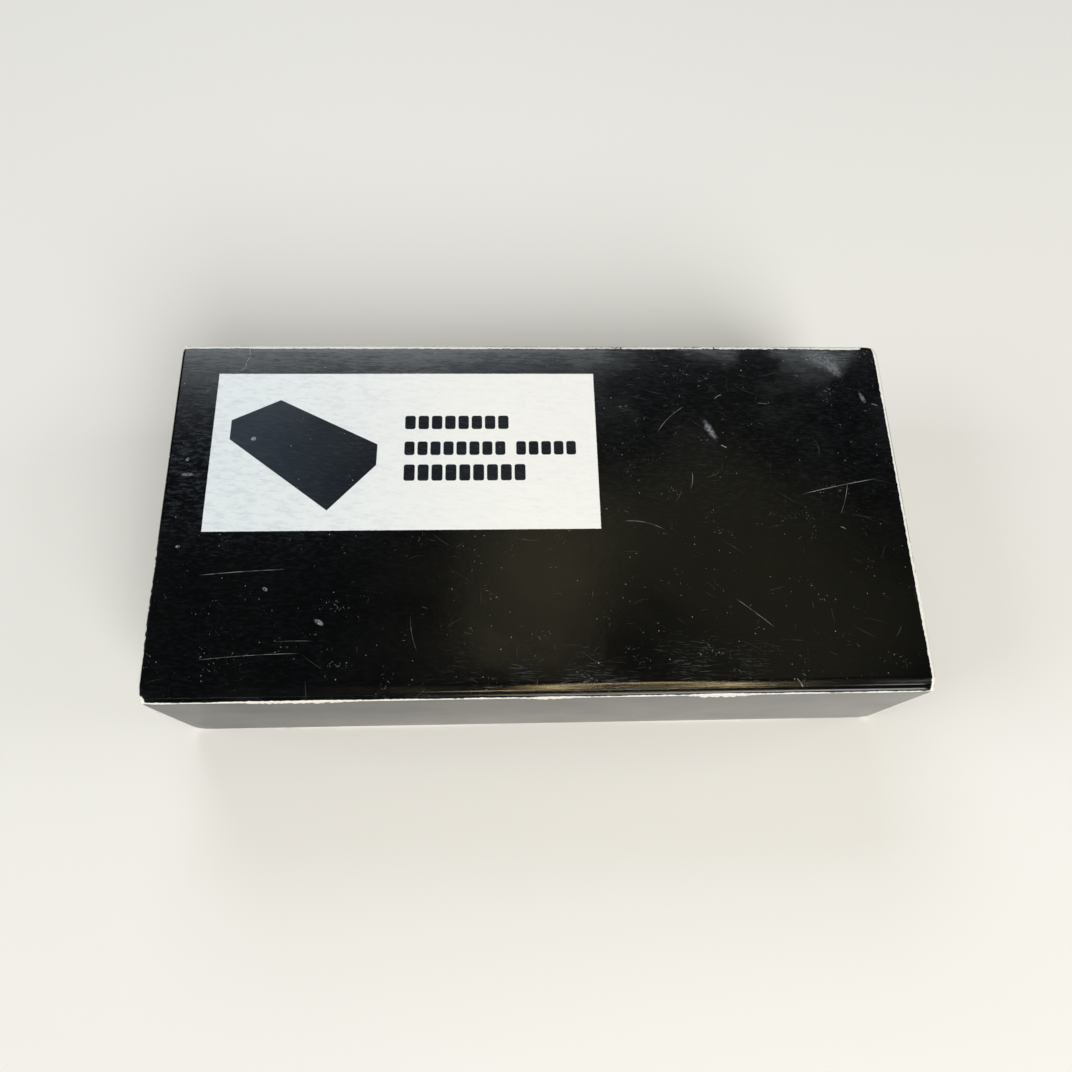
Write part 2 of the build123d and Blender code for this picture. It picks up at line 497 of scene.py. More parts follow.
def box_mask(g, x, y, low, high, soft=0.04):
    """1 inside a rectangle of the top, easing to 0 over a soft border."""
    sides = [g.ease(x, low[0] - soft, low[0] + soft), g.ease(x, high[0] + soft, high[0] - soft),
             g.ease(y, low[1] - soft, low[1] + soft), g.ease(y, high[1] + soft, high[1] - soft)]
    return g.product(*sides)


def outline_mask(g, place, outline, soft=0.05):
    """1 inside a convex outline listed clockwise."""
    inside = None
    for (ax, ay), (bx, by) in zip(outline, outline[1:] + outline[:1]):
        length = math.hypot(bx - ax, by - ay)
        inward = ((by - ay) / length, (ax - bx) / length, 0.0)
        offset = inward[0] * ax + inward[1] * ay
        distance = g.minus(g.vector("DOT_PRODUCT", place, inward), offset)
        inside = distance if inside is None else g.math("MINIMUM", inside, distance)
    return g.ease(inside, -soft, soft)


def rounded_mark(g, x, y, low, high, radius=MARK_ROUND, soft=0.03):
    """1 inside a rectangle with rounded corners."""
    sides = []
    for value, a, b in ((x, low[0], high[0]), (y, low[1], high[1])):
        reach = g.absolute(g.minus(value, (a + b) / 2))
        sides.append(g.union(g.minus(reach, (b - a) / 2 - radius), 0.0))
    distance = g.math("SQRT", g.plus(g.product(sides[0], sides[0]), g.product(sides[1], sides[1])))
    return g.ease(distance, radius + soft, radius - soft)


def printed_lines(g, x, y):
    """Rows of plain rounded marks with the rhythm of bold print. They form no letters."""
    marks = []
    for base, tall, words in PRINT_LINES:
        left = PRINT_LEFT
        for width in words:
            pitch = width / round(width / MARK_PITCH)
            inside = g.math("FLOORED_MODULO", g.minus(x, left), pitch)
            mark = rounded_mark(g, inside, y, (MARK_GAP / 2, base), (pitch - MARK_GAP / 2, base + tall))
            marks.append(g.product(mark, box_mask(g, x, y, (left, base), (left + width, base + tall))))
            left += width + WORD_GAP
    return g.union(*marks)


def printed_panel(g, place, x, y, rubbed, colour):
    """colour with the white panel over it, and on that the silhouette and the lines of print."""
    wobble = g.product(g.minus(g.noise(place, 2.5), 0.5), 0.12)
    low = (PANEL_LEFT, PANEL_BACK - PANEL_SIZE[1])
    high = (PANEL_LEFT + PANEL_SIZE[0], PANEL_BACK)
    mask = box_mask(g, g.plus(x, wobble), g.plus(y, wobble), low, high)
    left = g.ease(x, 0.0, -66.0)
    fibres = g.noise(g.stretched(place, 8, 0.5, 2.4), detail=5.0, roughness=0.65)
    felt = g.noise(g.stretched(place, 4, 0.4, 1.2), detail=6.0, roughness=0.72)
    stained = g.product(g.ease(felt, 0.44, 0.66), g.ease(left, 0.0, 1.0, 0.08, 0.42))
    spots = g.ease(g.noise(place, 2.2, detail=4.0, roughness=0.7), 0.64, 0.74)
    white = g.mix(left, PANEL_WHITE, PANEL_LEFT_TINT)
    white = g.mix(stained, white, PANEL_STAIN)
    white = g.mix(g.ease(fibres, 0.5, 0.75, 0.0, 0.14), white, PANEL_FIBRE)
    white = g.mix(g.product(spots, g.ease(left, 0.0, 1.0, 0.08, 0.5)), white, PANEL_SPOT)
    white = g.mix(g.product(rubbed, g.ease(left, 0.2, 1.0, 0.0, 0.25)), white, PANEL_SCUFF)
    # Towards the left the ink is painted lighter and bluer: painted reflection of the cool back light.
    ink = g.mix(g.ease(x, -30.0, -62.0, 0.0, 0.8), PANEL_INK, PANEL_INK_REFLECTION)
    ink = g.mix(g.ease(fibres, 0.45, 0.72, 0.0, 0.12), ink, PANEL_INK_FIBRE)
    ink = g.mix(g.product(rubbed, 0.15), ink, PANEL_INK_SCUFF)
    mark = g.union(outline_mask(g, place, SILHOUETTE), printed_lines(g, x, y))
    return g.mix(mask, colour, g.mix(mark, white, ink))


# ---------------------------------------------------------------- single marks on the top

SCRATCHES = (               # start, stop, bow, width, strength
    ((-63.8, -13.1), (-47.5, -12.1), 0.15, 0.08, 0.55),
    ((-62.7, -29.0), (-43.6, -28.0), 0.25, 0.07, 0.40),
    ((-48.9, -25.8), (-41.5, -25.8), 0.10, 0.06, 0.35),
    ((-24.4, -20.9), (-23.1, -28.0), -0.40, 0.07, 0.35),
    ((15.8, -3.0), (24.0, -4.9), 0.70, 0.08, 0.50),
    ((23.7, 15.8), (30.0, 22.1), 0.60, 0.07, 0.45),
    ((30.1, 7.4), (29.4, 3.5), 0.30, 0.08, 0.50),
    ((36.0, -18.6), (43.1, -24.5), 0.10, 0.07, 0.45),
    ((36.1, 23.6), (37.8, 24.7), 0.20, 0.10, 0.70),
    ((36.4, 13.2), (37.6, 12.5), 0.10, 0.13, 0.70),
    ((44.9, 22.7), (47.0, 22.5), 0.05, 0.12, 0.85),
    ((51.1, 2.3), (67.5, 5.8), 0.20, 0.08, 0.60),
    ((58.2, -4.4), (59.3, -5.0), 0.10, 0.12, 0.60),
    ((61.1, 5.3), (58.6, -2.0), 0.30, 0.08, 0.45),
    ((68.6, 22.6), (70.0, 22.1), 0.05, 0.14, 0.80),
    ((45.8, -33.8), (46.9, -35.5), 0.05, 0.17, 1.00),
    ((-48.0, 31.0), (-28.0, 32.3), 0.50, 0.07, 0.25),
)

CRACK = ((-58.6, 36.2), (-58.0, 33.6), (-58.9, 32.2), (-58.7, 31.2), (-59.8, 30.3))
CRACK_BOW = 0.05
CRACK_WIDTH = 0.22
CRACK_EDGE_WIDTH = 0.10
CRACK_EDGE_OFFSET = (0.12, 0.05, 0.0)

BLOTCHES = (                # centre, half length, half width, heading in degrees, strength
    ((34.5, 16.7), 2.1, 0.60, -65, 0.75),
    ((67.0, 24.0), 1.3, 0.40, -69, 0.60),
    ((59.6, 33.2), 3.6, 1.80, -20, 0.45),
    ((62.0, 30.6), 2.0, 1.00, -50, 0.45),
    ((-56.0, 14.9), 0.5, 0.45, 0, 0.90),
    ((-68.2, 10.5), 0.4, 0.30, 60, 1.00),
    ((-67.8, 7.3), 1.1, 0.35, 0, 0.60),
    ((-41.0, -22.3), 0.9, 0.40, -30, 0.90),
    ((-51.2, -15.9), 0.5, 0.30, -40, 0.90),
    ((-68.0, -7.4), 0.4, 0.25, 10, 0.90),
)

SCRATCHED = (0.40, 0.40, 0.39)
CRACKED = (0.01, 0.01, 0.01)
CRACK_EDGE = (0.45, 0.46, 0.46)
BLOTCHED = (0.36, 0.40, 0.45)


def scratch(g, place, start, stop, bow, width):
    """A fine scratch on the top from start to stop, bowed sideways by bow."""
    start, stop = Vector(start).to_3d(), Vector(stop).to_3d()
    middle, half = (start + stop) / 2, (stop - start).length / 2
    along = (stop - start).normalized()
    side = Vector((-along.y, along.x, 0))
    share = g.math("DIVIDE", g.minus(g.vector("DOT_PRODUCT", place, tuple(along)), along.dot(middle)), half)
    offset = g.minus(g.vector("DOT_PRODUCT", place, tuple(side)), side.dot(middle))
    bend = g.product(g.minus(1.0, g.product(share, share)), bow)
    line = g.ease(g.absolute(g.minus(offset, bend)), width, 0.3 * width)
    return g.product(line, g.ease(g.absolute(share), 1.0, 0.6))


def blotch(g, place, fray, centre, half_length, half_width, heading):
    """A rubbed spot with a frayed outline."""
    local = g.vector("SUBTRACT", place, tuple(Vector(centre).to_3d()))
    turned = g.turned(local, -math.radians(heading))
    scaled = g.vector("MULTIPLY", turned, (1 / half_length, 1 / half_width, 0.0))
    soft = min(0.7, 0.25 * half_length)
    frayed = g.product(fray, min(1.0, 0.6 * half_length))
    return g.ease(g.plus(g.vector("LENGTH", scaled), frayed), 1.0 + soft, 1.0 - soft)


def top_marks(g, place, colour):
    """colour with the single scratches, the crack in the back left of the print and the rubbed spots."""
    uneven = g.ease(g.noise(place, 0.35, detail=2.0), 0.35, 0.6, 0.25, 1.0)
    for *shape, strength in SCRATCHES:
        colour = g.mix(g.product(scratch(g, place, *shape), uneven, strength), colour, SCRATCHED)
    beside = g.vector("ADD", place, CRACK_EDGE_OFFSET)
    for start, stop in zip(CRACK, CRACK[1:]):
        dark = scratch(g, place, start, stop, CRACK_BOW, CRACK_WIDTH)
        colour = g.mix(g.product(dark, 0.7), colour, CRACKED)
        edge = scratch(g, beside, start, stop, CRACK_BOW, CRACK_EDGE_WIDTH)
        colour = g.mix(g.product(edge, 0.6), colour, CRACK_EDGE)
    fray = g.product(g.minus(g.noise(place, 1.3, detail=4.0, roughness=0.7), 0.5), 2.6)
    broken = g.ease(g.noise(place, 2.6, detail=4.0, roughness=0.8), 0.42, 0.56, 0.1, 1.0)
    for *shape, strength in BLOTCHES:
        spot = g.product(blotch(g, place, fray, *shape), broken, 0.8 * strength)
        colour = g.mix(spot, colour, BLOTCHED)
    return colour


# ---------------------------------------------------------------- wear all over the print

def scuffs(g, place, density):
    """Soft fine streaks along the carton, which appear only where density is high."""
    layers = []
    level = g.minus(0.70, g.product(density, 0.15))
    for number, angle in enumerate((2, -5, 9)):
        moved = g.vector("ADD", g.stretched(place, angle, 0.28, 5.5), (7.3 * number, 3.1, 1.7 * number))
        streak = g.noise(moved, detail=3.0, roughness=0.65, distortion=0.3)
        layers.append(g.ease(streak, level, g.plus(level, 0.12)))
    return g.union(*layers)


def flecks(g, place, density):
    """Ragged pin-head specks of lost gloss, which gather in clusters."""
    gathered = g.ease(g.noise(place, 0.22, detail=3.0, roughness=0.6), 0.46, 0.66)
    level = g.minus(0.725, g.product(gathered, g.ease(density, 0.0, 1.0, 0.12, 0.15)))
    return g.ease(g.noise(place, 1.7, detail=5.0, roughness=0.75), level, g.plus(level, 0.04))


def hairs(g, flat, scale, reach, width, share):
    """Fine bowed hair scratches, one near the middle of a share of the cells of a jittered grid."""
    cell = g.cells(flat, scale, voronoi_dimensions="2D")
    turn, bow, chance = g.split(cell["Color"])
    local = g.vector("SUBTRACT", flat, cell["Position"])
    along, side, _ = g.split(g.turned(local, g.ease(turn, 0.0, 1.0, -1.1, 0.9)))
    bend = g.product(along, along, g.minus(bow, 0.5), 0.5 / reach)
    line = g.product(g.ease(g.absolute(g.minus(side, bend)), width, 0.3 * width),
                     g.ease(g.absolute(along), reach, 0.1 * reach))
    return g.product(line, g.math("LESS_THAN", chance, share), g.ease(bow, 0.0, 1.0, 0.35, 1.0))


def long_and_short_hairs(g, x, y, z, density):
    """Hair scratches of two sizes, projected on a slant so that they smear on no panel."""
    flat = g.node("CombineXYZ", {"X": g.plus(x, g.product(y, 0.6)), "Y": g.plus(y, z)}).outputs[0]
    moved = g.vector("ADD", flat, (3.7, 1.9, 0.0))
    return g.union(hairs(g, flat, 0.22, 2.6, 0.05, g.ease(density, 0.0, 0.6, 0.10, 0.30)),
                   hairs(g, moved, 0.45, 1.1, 0.045, g.ease(density, 0.0, 0.6, 0.02, 0.12)))


def specks(g, place, scale, size, share):
    """Small chips: a dot near the middle of some cells."""
    cell = g.cells(place, scale)
    chance = g.split(cell["Color"])[0]
    return g.product(g.ease(cell["Distance"], size, 0.5 * size), g.math("LESS_THAN", chance, share))


def top_haze_and_sheen(g, place, x, y, clouds):
    """Fine rubbing that greys the print, with a painted sheen of the cool back light on it: dense along the
    back fold, above all at its left.
    """
    # The haze lightens the ink partly as rubbed gloss and partly as a painted sheen of the cool light from
    # the back left.
    grain = g.noise(g.stretched(place, 2, 0.4, 3.2), detail=4.0, roughness=0.7)
    rear = g.math("POWER", math.e, g.math("DIVIDE", g.minus(y, SIDE), 6.0))
    reach = g.ease(x, 36.0, -30.0, 0.35, 1.0)
    patches = g.between(g.ease(x, -10.0, 40.0), g.ease(clouds, 0.3, 0.65, 0.8, 1.0),
                        g.ease(clouds, 0.42, 0.6, 0.2, 1.7))
    return g.product(rear, reach, patches, g.ease(grain, 0.3, 0.7, 0.45, 1.5))


def top_rubbing(g, place, x, y, clouds, mottle):
    """How hazy (rubbing with painted sheen) and how veiled (painted reflection) the top's print is, and how
    densely it is scuffed.
    """
    haze_and_sheen = top_haze_and_sheen(g, place, x, y, clouds)
    # The veil is a painted reflection of the cool light from the back left, broken up by the mottle.
    reflection_veil = g.product(g.ease(y, -14.0, 12.0, 0.12, 1.0), g.ease(x, 0.0, -62.0, 0.22, 1.0),
                     g.ease(mottle, 0.45, 0.66))
    clusters = g.ease(g.noise(place, 0.16, detail=3.0, roughness=0.6), 0.50, 0.68)
    patches = g.ease(g.noise(place, 0.13, detail=3.0), 0.35, 0.6, 0.45, 1.0)
    front = g.product(g.ease(y, -18.0, -31.0), g.ease(x, -34.0, -5.0), g.ease(x, 62.0, 34.0, 0.35, 1.0))
    density = g.union(g.product(clusters, 0.35), g.product(front, patches, 0.85),
                      g.product(g.ease(y, 4.0, 32.0), 0.45), g.product(haze_and_sheen, 1.4))
    return haze_and_sheen, reflection_veil, g.math("MINIMUM", density, 1.0)


def side_rubbing(g, place, clouds, mottle):
    """The same three for the other panels, which are scuffed in large patches."""
    haze_and_sheen = g.ease(clouds, 0.5, 0.8, 0.0, 0.10)
    # A mottled painted reflection here too, without the lean towards the back left.
    reflection_veil = g.ease(mottle, 0.5, 0.7, 0.0, 0.4)
    return haze_and_sheen, reflection_veil, g.ease(g.noise(place, 0.045, detail=5.0, roughness=0.65), 0.52, 0.72, 0.0, 0.6)


# ---------------------------------------------------------------- materials

INK = (0.0016, 0.0018, 0.0020)
# Ink lightened by painted reflection (veiled) and by rubbing with painted sheen (hazy).
INK_VEILED_REFLECTION = (0.024, 0.030, 0.041)
INK_HAZE_AND_SHEEN = (0.120, 0.135, 0.147)
SCUFF = (0.13, 0.14, 0.15)
HAIR = (0.42, 0.42, 0.42)
FLECK = (0.26, 0.27, 0.30)
CHIP = (0.50, 0.51, 0.50)
PAPER_DARK = (0.76, 0.75, 0.71)
PAPER_LIGHT = (0.88, 0.88, 0.86)
RAW_DARK = (0.40, 0.385, 0.35)
RAW_LIGHT = (0.56, 0.54, 0.50)
CUT_DARK = (0.60, 0.58, 0.53)
CUT_LIGHT = (0.80, 0.79, 0.75)
BOARD_SPECK = (0.25, 0.22, 0.18)
CHARCOAL_DARK = (0.010, 0.010, 0.0105)
CHARCOAL_LIGHT = (0.034, 0.033, 0.032)
CHARCOAL_SHEEN = (0.055, 0.053, 0.05)
CHARCOAL_PIT_SHADE = (0.004, 0.004, 0.004)
GLUE_DARK = (0.55, 0.45, 0.26)
GLUE_LIGHT = (0.78, 0.72, 0.55)
FLOOR = (0.83, 0.83, 0.82)
FLOOR_FADE = (0.4, 1.7)     # distances in metres between which the floor turns into the backdrop
BACKDROP = (0.93, 0.96, 1.0)
BACKDROP_STRENGTH = 0.95
WORLD_STRENGTH = 0.02       # what the world adds as light: little, which keeps the blacks black


def print_material(name, top):
    """Gloss black print on board with scuffs, scratches and white where it has worn off.
    The top also has the white printed panel and its single marks."""
    g = Graph(name)
    place = g.attribute("place")
    x, y, z = g.split(place)
    clouds = g.noise(place, 0.06, detail=4.0)
    mottle = g.noise(g.stretched(place, 2, 0.7, 1.9), detail=5.0, roughness=0.7)
    if top:
        haze_and_sheen, reflection_veil, density = top_rubbing(g, place, x, y, clouds, mottle)
    else:
        haze_and_sheen, reflection_veil, density = side_rubbing(g, place, clouds, mottle)
    rubbed = scuffs(g, place, density)
    flecked = flecks(g, place, density)
    chips = g.union(specks(g, place, 0.24, 0.035, 0.45), specks(g, place, 0.62, 0.07, 0.30))
    fray = g.noise(place, 1.1, detail=6.0, roughness=0.7)
    frayed_wear = g.plus(g.attribute("wear", "Fac"), g.product(g.minus(fray, 0.5), 1.1))
    bare = g.ease(frayed_wear, 0.42, 0.52)

    # Haze and veil lighten the ink: partly rubbed gloss, partly painted sheen and reflection of the cool back
    # light.
    colour = g.mix(haze_and_sheen, g.mix(reflection_veil, INK, INK_VEILED_REFLECTION), INK_HAZE_AND_SHEEN)
    colour = g.mix(g.product(rubbed, g.ease(density, 0.0, 1.0, 0.05, 0.35)), colour, SCUFF)
    colour = g.mix(g.product(long_and_short_hairs(g, x, y, z, density), 0.16), colour, HAIR)
    colour = g.mix(g.product(flecked, 0.45), colour, FLECK)
    if top:
        colour = printed_panel(g, place, x, y, rubbed, colour)
        colour = top_marks(g, place, colour)
    colour = g.mix(g.product(chips, g.ease(density, 0.1, 0.7, 0.4, 0.9)), colour, CHIP)
    colour = g.mix(bare, colour, g.mix(g.noise(place, 3.0, detail=4.0), PAPER_DARK, PAPER_LIGHT))

    dulled = g.plus(g.product(rubbed, 0.08), g.product(haze_and_sheen, 0.3))
    gloss = g.plus(g.ease(clouds, 0.3, 0.7, 0.13, 0.20), dulled)
    rough = g.union(gloss, g.product(g.union(bare, chips), 0.85))
    dents = g.minus(1.0, g.union(g.product(rubbed, 0.2), flecked, chips))
    normal = g.bump(g.noise(place, 0.5, detail=2.0), 0.000012)
    normal = g.bump(dents, 0.00002, 0.5, normal)
    normal = g.bump(g.product(bare, fray), 0.00008, 1.0, normal)
    sheen = 0.5 if top else g.ease(x, -62.0, 30.0, 0.12, 0.5)
    g.surface_input(Base_Color=colour, Roughness=rough, Normal=normal, Specular_IOR_Level=sheen)
    return g.material


def raw_board(name, dark, light):
    """Unprinted board: felted fibres, slightly grey, with a few darker specks."""
    g = Graph(name)
    place = g.attribute("place")
    fibres = g.noise(g.stretched(place, 20, 0.8, 4.0), detail=5.0, roughness=0.65)
    colour = g.mix(fibres, dark, light)
    colour = g.mix(g.product(specks(g, place, 0.9, 0.09, 0.3), 0.5), colour, BOARD_SPECK)
    rough = g.ease(fibres, 0.2, 0.8, 0.8, 0.95)
    g.surface_input(Base_Color=colour, Roughness=rough, Normal=g.bump(fibres, 0.00004, 0.8))
    return g.material


def pressed_charcoal():
    """Matt black with fine grain, open pits painted darker as painted shade, and a faint graphite sheen in
    patches.
    """
    g = Graph("pressed_charcoal")
    place = g.attribute("place")
    grain = g.noise(g.vector("MULTIPLY", place, (0.5, 2.2, 2.2)), detail=8.0, roughness=0.7)
    open_pits = g.ease(g.cells(place, 0.8)["Distance"], 0.22, 0.12)
    patches = g.noise(place, 0.08, detail=3.0)
    colour = g.mix(grain, CHARCOAL_DARK, CHARCOAL_LIGHT)
    colour = g.mix(g.ease(patches, 0.45, 0.7, 0.0, 0.35), colour, CHARCOAL_SHEEN)
    # The pits are painted darker: painted shade in the hollows.
    colour = g.mix(open_pits, colour, CHARCOAL_PIT_SHADE)
    height = g.minus(grain, g.product(open_pits, 0.8))
    rough = g.ease(grain, 0.25, 0.75, 0.86, 0.58)
    g.surface_input(Base_Color=colour, Roughness=rough, Normal=g.bump(height, 0.00018, 0.9))
    return g.material


def dried_glue():
    """Thin yellowish adhesive, drawn out in streaks."""
    g = Graph("dried_glue")
    place = g.node("TexCoord", {}).outputs["Object"]
    streaks = g.noise(g.vector("MULTIPLY", place, (60.0, 400.0, 900.0)), detail=3.0)
    colour = g.mix(streaks, GLUE_DARK, GLUE_LIGHT)
    rough = g.ease(streaks, 0.3, 0.7, 0.25, 0.5)
    g.surface_input(Base_Color=colour, Roughness=rough, Normal=g.bump(streaks, 0.00003))
    return g.material


def floor_material():
    """Pale matt floor that fades into the backdrop far from the object."""
    g = Graph("pale_floor")
    far = g.ease(g.vector("LENGTH", g.node("NewGeometry", {}).outputs["Position"]), *FLOOR_FADE)
    seen = g.node("LightPath", {}).outputs["Is Camera Ray"]
    g.surface_input(Base_Color=g.mix(far, FLOOR, (0.0, 0.0, 0.0)), Roughness=0.6,
                    Specular_IOR_Level=g.ease(far, 0.0, 1.0, 0.5, 0.0), Emission_Color=BACKDROP,
                    Emission_Strength=g.product(far, seen, BACKDROP_STRENGTH))
    return g.material


TOP_PRINT = print_material("gloss_black_print_top", True)
PRINT = print_material("gloss_black_print", False)
RAW = raw_board("raw_board_inside", RAW_DARK, RAW_LIGHT)
CUT = raw_board("raw_board_cut_edge", CUT_DARK, CUT_LIGHT)


# ---------------------------------------------------------------- sleeve: the four walls and the glue flap

def replacing(piece, node):
    """The piece stands for a CAD node."""
    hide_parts(node)
    return piece


def constant(low, high):
    return lambda s: (low, high)


def wall_span(s, open_end=False):
    """The front or back wall's reach in X: whole at its folds, shorter where the dust flaps bend off."""
    total = HEIGHT + 2 * FOLD
    shorter = smooth(FOLD + 0.75, FOLD + 0.95, s)
    if not open_end:
        shorter = shorter * smooth(total - FOLD - 1.5, total - FOLD - 1.7, s)
    reach = SLEEVE_END - CREASE * shorter
    return -reach, reach


def back_span(s):
    """The back wall's reach in X. It ends in a cut edge instead of a lower fold."""
    return wall_span(s, open_end=True)


def glue_span(s):
    """The glue flap's reach in X, tapered towards its free edge."""
    reach = GLUE_HIGH[0] - GLUE_TAPER * smooth(1.0, 13.5, s)
    return -reach, reach


def sleeve():
    """The four walls and the glue flap, each bent from one path and riding on the carton."""
    flat = SIDE - FOLD
    glue_fold = GLUE_HIGH[1] - FOLD
    fine = {"rows": (2.2, 0.11, 1.5), "columns": (2.0, 0.2, 1.8)}
    top = sheet("top_panel_board", [(-flat, HEIGHT), (flat, HEIGHT)], FOLD, (1, 2),
                constant(CREASE - END, SLEEVE_END), 1, rows=(3.0, 0.14, 1.6), columns=(2.0, 0.2, 1.8))
    top.data.materials[0] = TOP_PRINT
    front_path = [(-flat, HEIGHT), (-SIDE, HEIGHT), (-SIDE, 0), (-flat, 0)]
    front = sheet("front_panel_board", front_path, FOLD, (1, 2), wall_span, -1, **fine)
    back_path = [(flat, HEIGHT), (SIDE, HEIGHT), (SIDE, BACK_LOW[2])]
    back = sheet("back_panel_board", back_path, FOLD, (1, 2), back_span, 1, **fine)
    bottom = sheet("bottom_panel_board", [(-flat, 0), (glue_fold, 0)], FOLD, (1, 2),
                   constant(-SLEEVE_END, END - CREASE), -1)
    flap_path = [(glue_fold, 0), (GLUE_HIGH[1], 0), (GLUE_HIGH[1], GLUE_HIGH[2])]
    flap = sheet("glue_flap_board", flap_path, FOLD, (1, 2), glue_span, -1)
    for piece, node in ((top, "top_panel"), (front, "front_panel"), (back, "back_panel"),
                        (bottom, "bottom_panel"), (flap, "glue_flap")):
        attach(replacing(piece, node), "carton")


# ---------------------------------------------------------------- ends: closure, tuck flap and dust flaps

def at_end(side_name, points):
    """Points (x, z) of the left end, or the same turned half a turn about the carton's middle Y axis, which
    gives the right end."""
    return [(-x, HEIGHT - z) for x, z in points] if side_name == "right" else points


def bend(piece, parent, child, start, stop):
    """Bakes the piece's transform into its mesh. parent, child, start and stop are not used."""
    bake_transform(piece)


def closure(side_name):
    """The end wall, from its hinge crease to just short of the tuck fold, and down to it at the slits."""
    half = CLOSURE_HIGH[1]
    path = at_end(side_name, [(CREASE - END, HEIGHT), (-END, HEIGHT), (-END, CLOSURE_LOW[2])])
    total = rounded_path(path, CREASE)[1][-1]
    slit_share = (SLIT + half - TUCK_HIGH[1]) / (2 * half)

    def ends(share):
        outside = smooth(slit_share + 0.004, slit_share, np.minimum(share, 1 - share))
        return 0.0, total - CREASE * (1 - outside)

    piece = sheet(side_name + "_closure_board", path, CREASE, (0, 2), constant(-half, half), -1,
                  rows=(2.0, 0.12, 1.5), along=ends)
    (x, z), (far_x, far_z) = at_end(side_name, [(CREASE - END, HEIGHT), (-END, HEIGHT - CREASE)])
    bend(replacing(piece, side_name + "_closure_panel"), "carton", side_name + "_closure", (x, 0, z),
         (far_x, 0, far_z))


def tuck(side_name):
    """The tuck flap, from the closure's outer face round the tuck fold to its free edge."""
    half = TUCK_HIGH[1]
    root_x = TUCK_LOW[0]
    fold_z = CLOSURE_LOW[2]
    tip = (TUCK_HIGH[0], TUCK_HIGH[2] - BOARD)
    root = (root_x + 1.0, fold_z + 0.02)
    path = at_end(side_name, [(-END, fold_z + CREASE), (-END, fold_z), root, tip])
    total = rounded_path(path, TUCK_CREASE)[1][-1]

    def ends(share):
        width = np.abs(2 * share - 1) * half
        slit = smooth(half - SLIT - 0.2, half - SLIT, width)
        over = np.clip((width - (half - TUCK_CORNER)) / TUCK_CORNER, 0, 1)
        rounding = TUCK_CORNER * (1 - np.sqrt(1 - 0.995 * over ** 2))
        return (CREASE * 1.6 + SLIT_GAP) * slit, total - rounding

    piece = sheet(side_name + "_tuck_board", path, TUCK_CREASE, (0, 2), constant(-half, half), -1,
                  rows=(2.2, 0.12, 0.8), columns=(9.0, 0.35, 1.8), along=ends)
    (x, z), (far_x, far_z) = at_end(side_name, [(-END, fold_z + CREASE), (root_x, fold_z)])
    bend(replacing(piece, side_name + "_tuck_flap"), side_name + "_closure", side_name + "_tuck", (x, 0, z),
         (far_x, 0, far_z))


def dust(side_name, wall_name):
    """A dust flap, from the front or back wall round the corner to its tapered tip."""
    right = side_name == "right"
    end = SLEEVE_END if right else -SLEEVE_END
    bend_start = end - math.copysign(CREASE, end)
    wall = -1 if wall_name == "front" else 1
    node = f"{side_name}_{wall_name}_dust_flap"
    low, high = box_mm(node)

    def span(s):
        share = np.clip((s - 1.0) / (DUST_LENGTH - 1.0), 0, 1)
        below, above = (DUST_HINGE_CUT, DUST_TUCK_CUT) if right else (DUST_TUCK_CUT, DUST_HINGE_CUT)
        return low[2] + below * share, high[2] - above * share

    path = [(bend_start, wall * SIDE), (end, wall * SIDE), (end, wall * (SIDE - DUST_LENGTH))]
    piece = sheet(f"{side_name}_{wall_name}_dust_board", path, CREASE, (0, 1), span,
                  wall if right else -wall, rows=(1.6, 0.12, 1.2), columns=(1.5, 0.2, 1.5))
    bend(replacing(piece, node), "carton", f"{side_name}_{wall_name}_dust", (bend_start, wall * SIDE, 0),
         (end, wall * (SIDE - CREASE), 0))


# ---------------------------------------------------------------- torn paper on the front fold

TORN_STRIPS = (             # name, first x, last x, depth, lift, seed
    ("left", -55.0, -33.0, 0.55, 0.32, 3),
    ("middle", -6.0, 5.5, 0.4, 0.3, 4),
    ("right", 25.5, 38.5, 0.75, 0.5, 5),
)
STRIP_STEP = 0.22
STRIP_ROWS = 5
PLY = 0.09                  # thickness of the split ply


def torn_strip(name, first, last, depth, lift, seed):
    """A ragged sliver of the top ply, split off along the front fold and curling over the front wall."""
    draw = random.Random(seed)
    count = int((last - first) / STRIP_STEP)
    outer = np.zeros((count + 1, STRIP_ROWS, 3))
    inner = outer.copy()
    hang = 0.0
    for i in range(count + 1):
        x = first + (last - first) * i / count
        share = max(0.0, math.sin(math.pi * i / count)) ** 0.55
        hang = 0.45 * hang + 0.55 * draw.uniform(0.1, 1.15)
        for row in range(STRIP_ROWS):
            t = row / (STRIP_ROWS - 1)
            curl = lift * share * hang * math.sin(t * 1.7)
            y = -SIDE + 0.15 * (1 - t) - curl + 0.03 * draw.uniform(-1, 1)
            z = HEIGHT - FOLD_DROP - 0.16 - t * (depth * share * hang + 0.12)
            outer[i, row] = (x + 0.05 * draw.uniform(-1, 1), y, z)
            inner[i, row] = (x, y + PLY, z + 0.02)
    mesh, _ = closed_mesh(name, outer, inner)
    strip = finished(name, mesh, (CUT,), sharp=60)
    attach(strip, "carton")


# ---------------------------------------------------------------- charcoal block

BLOCK_CUTS = 71             # cuts across each face of the block's mesh
BLOCK_CROWDING = 1.35       # how strongly the mesh's rows crowd towards the block's edges
BLOCK_SHRINK = 0.04         # worn off all over, so that nothing stands out past the CAD block
CHIP_LEVEL = 0.12           # an edge is chipped where smooth noise is above this
CHIP_DEPTH = 1.6
CHIP_REACH = 0.9            # how far from an edge a chip reaches
SURFACE_ROUGHNESS = 0.05


